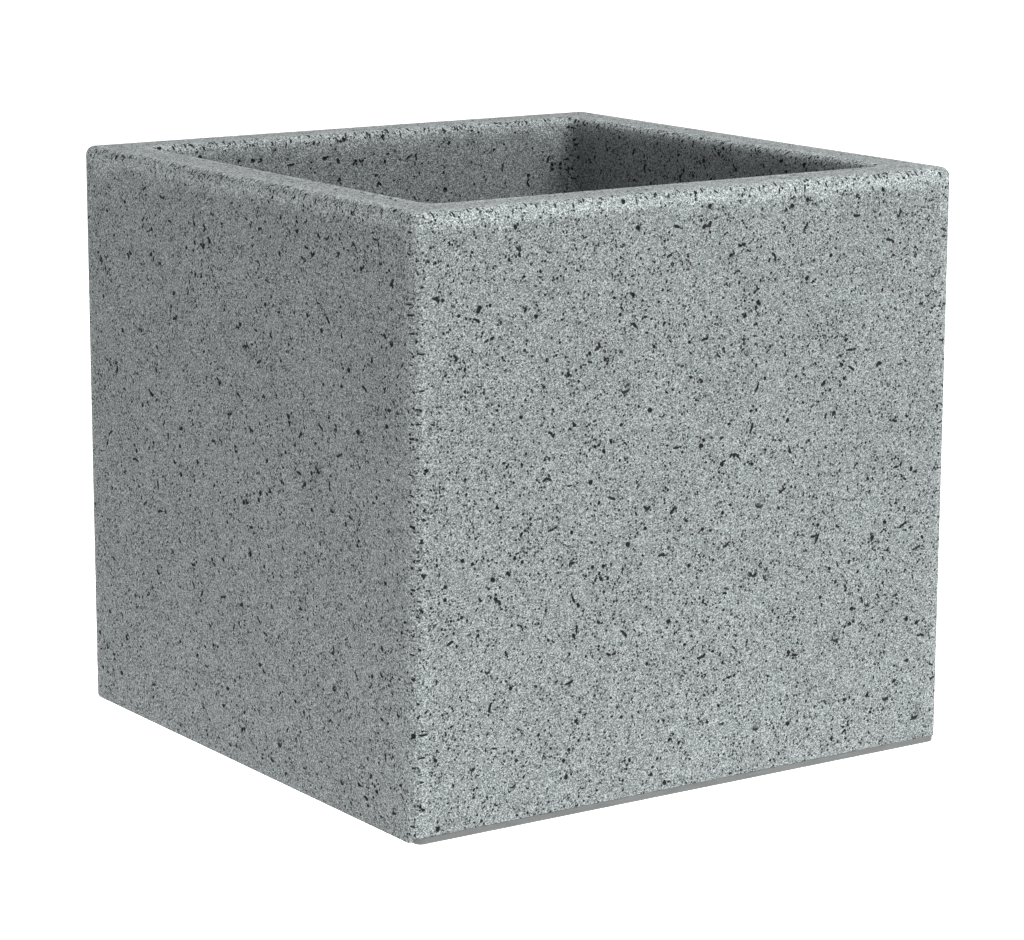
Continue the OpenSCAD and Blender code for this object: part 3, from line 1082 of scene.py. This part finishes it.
class PLANTER_OT_shell(bpy.types.Operator):
    """The moulded shell, as four mitred sides with a pitted stone skin"""

    bl_idname = "planter.shell"
    bl_label = "Moulded shell"

    def execute(self, context):
        shape = context.scene.planter_shape
        finish = stone_finish(context.scene.planter_colours)
        upright = outline(shape, rebated=True)
        table = make_pits(shape, context.scene.planter_pits, upright)
        maps = relief_maps(shape, upright, table)
        candidates = pit_points(shape, upright, table)
        for side, name in enumerate(SIDES):
            stretches = outline(shape, rebated=side % 2 == 0)
            piece = make_object(
                f"shell_{name}", *side_mesh(shape, stretches, side, maps, candidates)
            )
            piece.data.materials.append(finish)
            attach(piece, ROOT)
            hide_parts("planter_shell")
        return {"FINISHED"}


class PLANTER_OT_base(bpy.types.Operator):
    """Finish of the smooth base plate"""

    bl_idname = "planter.base"
    bl_label = "Base plate"

    def execute(self, context):
        dress(band_finish(context.scene.planter_colours), "base_plate")
        return {"FINISHED"}


class PLANTER_OT_screws(bpy.types.Operator):
    """Finish of the base plate's screws"""

    bl_idname = "planter.screws"
    bl_label = "Screws"

    def execute(self, context):
        dress(steel_finish(context.scene.planter_colours), "base_screws")
        return {"FINISHED"}


class PLANTER_OT_rubber(bpy.types.Operator):
    """Finish of the feet and the drain's seals"""

    bl_idname = "planter.rubber"
    bl_label = "Feet and seals"

    def execute(self, context):
        feet = [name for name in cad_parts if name.startswith("foot_")]
        dress(rubber_finish(context.scene.planter_colours), *feet, "drain_gasket", "plug_seal")
        return {"FINISHED"}


class PLANTER_OT_plastic(bpy.types.Operator):
    """Finish of the drain, the floor support, the fixing blocks and the grid"""

    bl_idname = "planter.plastic"
    bl_label = "Drain and grid"

    def execute(self, context):
        dress(
            plastic_finish(context.scene.planter_colours),
            "drain_fitting",
            "drain_nut",
            "drain_plug",
            "floor_support",
            "fixing_blocks",
            "drain_grid",
            "grid_legs",
        )
        return {"FINISHED"}


class PLANTER_PT_panel(bpy.types.Panel):
    """Lists the planter's sizes, finishes and steps"""

    bl_label = "Planter"
    bl_space_type = "VIEW_3D"
    bl_region_type = "UI"
    bl_category = "Planter"

    def draw(self, context):
        for group in GROUPS:
            settings = getattr(context.scene, GROUPS[group])
            box = self.layout.box()
            box.label(text=group.__doc__)
            for name in group.__annotations__:
                box.prop(settings, name)
        for operator in OPERATORS:
            self.layout.operator(operator.bl_idname)


GROUPS = {
    PlanterShape: "planter_shape",
    PlanterPits: "planter_pits",
    PlanterColours: "planter_colours",
    PlanterStudio: "planter_studio",
}
OPERATORS = (
    PLANTER_OT_stage,
    PLANTER_OT_shell,
    PLANTER_OT_base,
    PLANTER_OT_screws,
    PLANTER_OT_rubber,
    PLANTER_OT_plastic,
)


def register():
    for group, name in GROUPS.items():
        bpy.utils.register_class(group)
        setattr(bpy.types.Scene, name, PointerProperty(type=group))
    for operator in OPERATORS:
        bpy.utils.register_class(operator)
    bpy.utils.register_class(PLANTER_PT_panel)


def unregister():
    bpy.utils.unregister_class(PLANTER_PT_panel)
    for operator in reversed(OPERATORS):
        bpy.utils.unregister_class(operator)
    for group, name in GROUPS.items():
        delattr(bpy.types.Scene, name)
        bpy.utils.unregister_class(group)


def main():
    register()
    for operator in OPERATORS:
        family, name = operator.bl_idname.split(".")
        getattr(getattr(bpy.ops, family), name)()


if __name__ == "__main__":
    main()
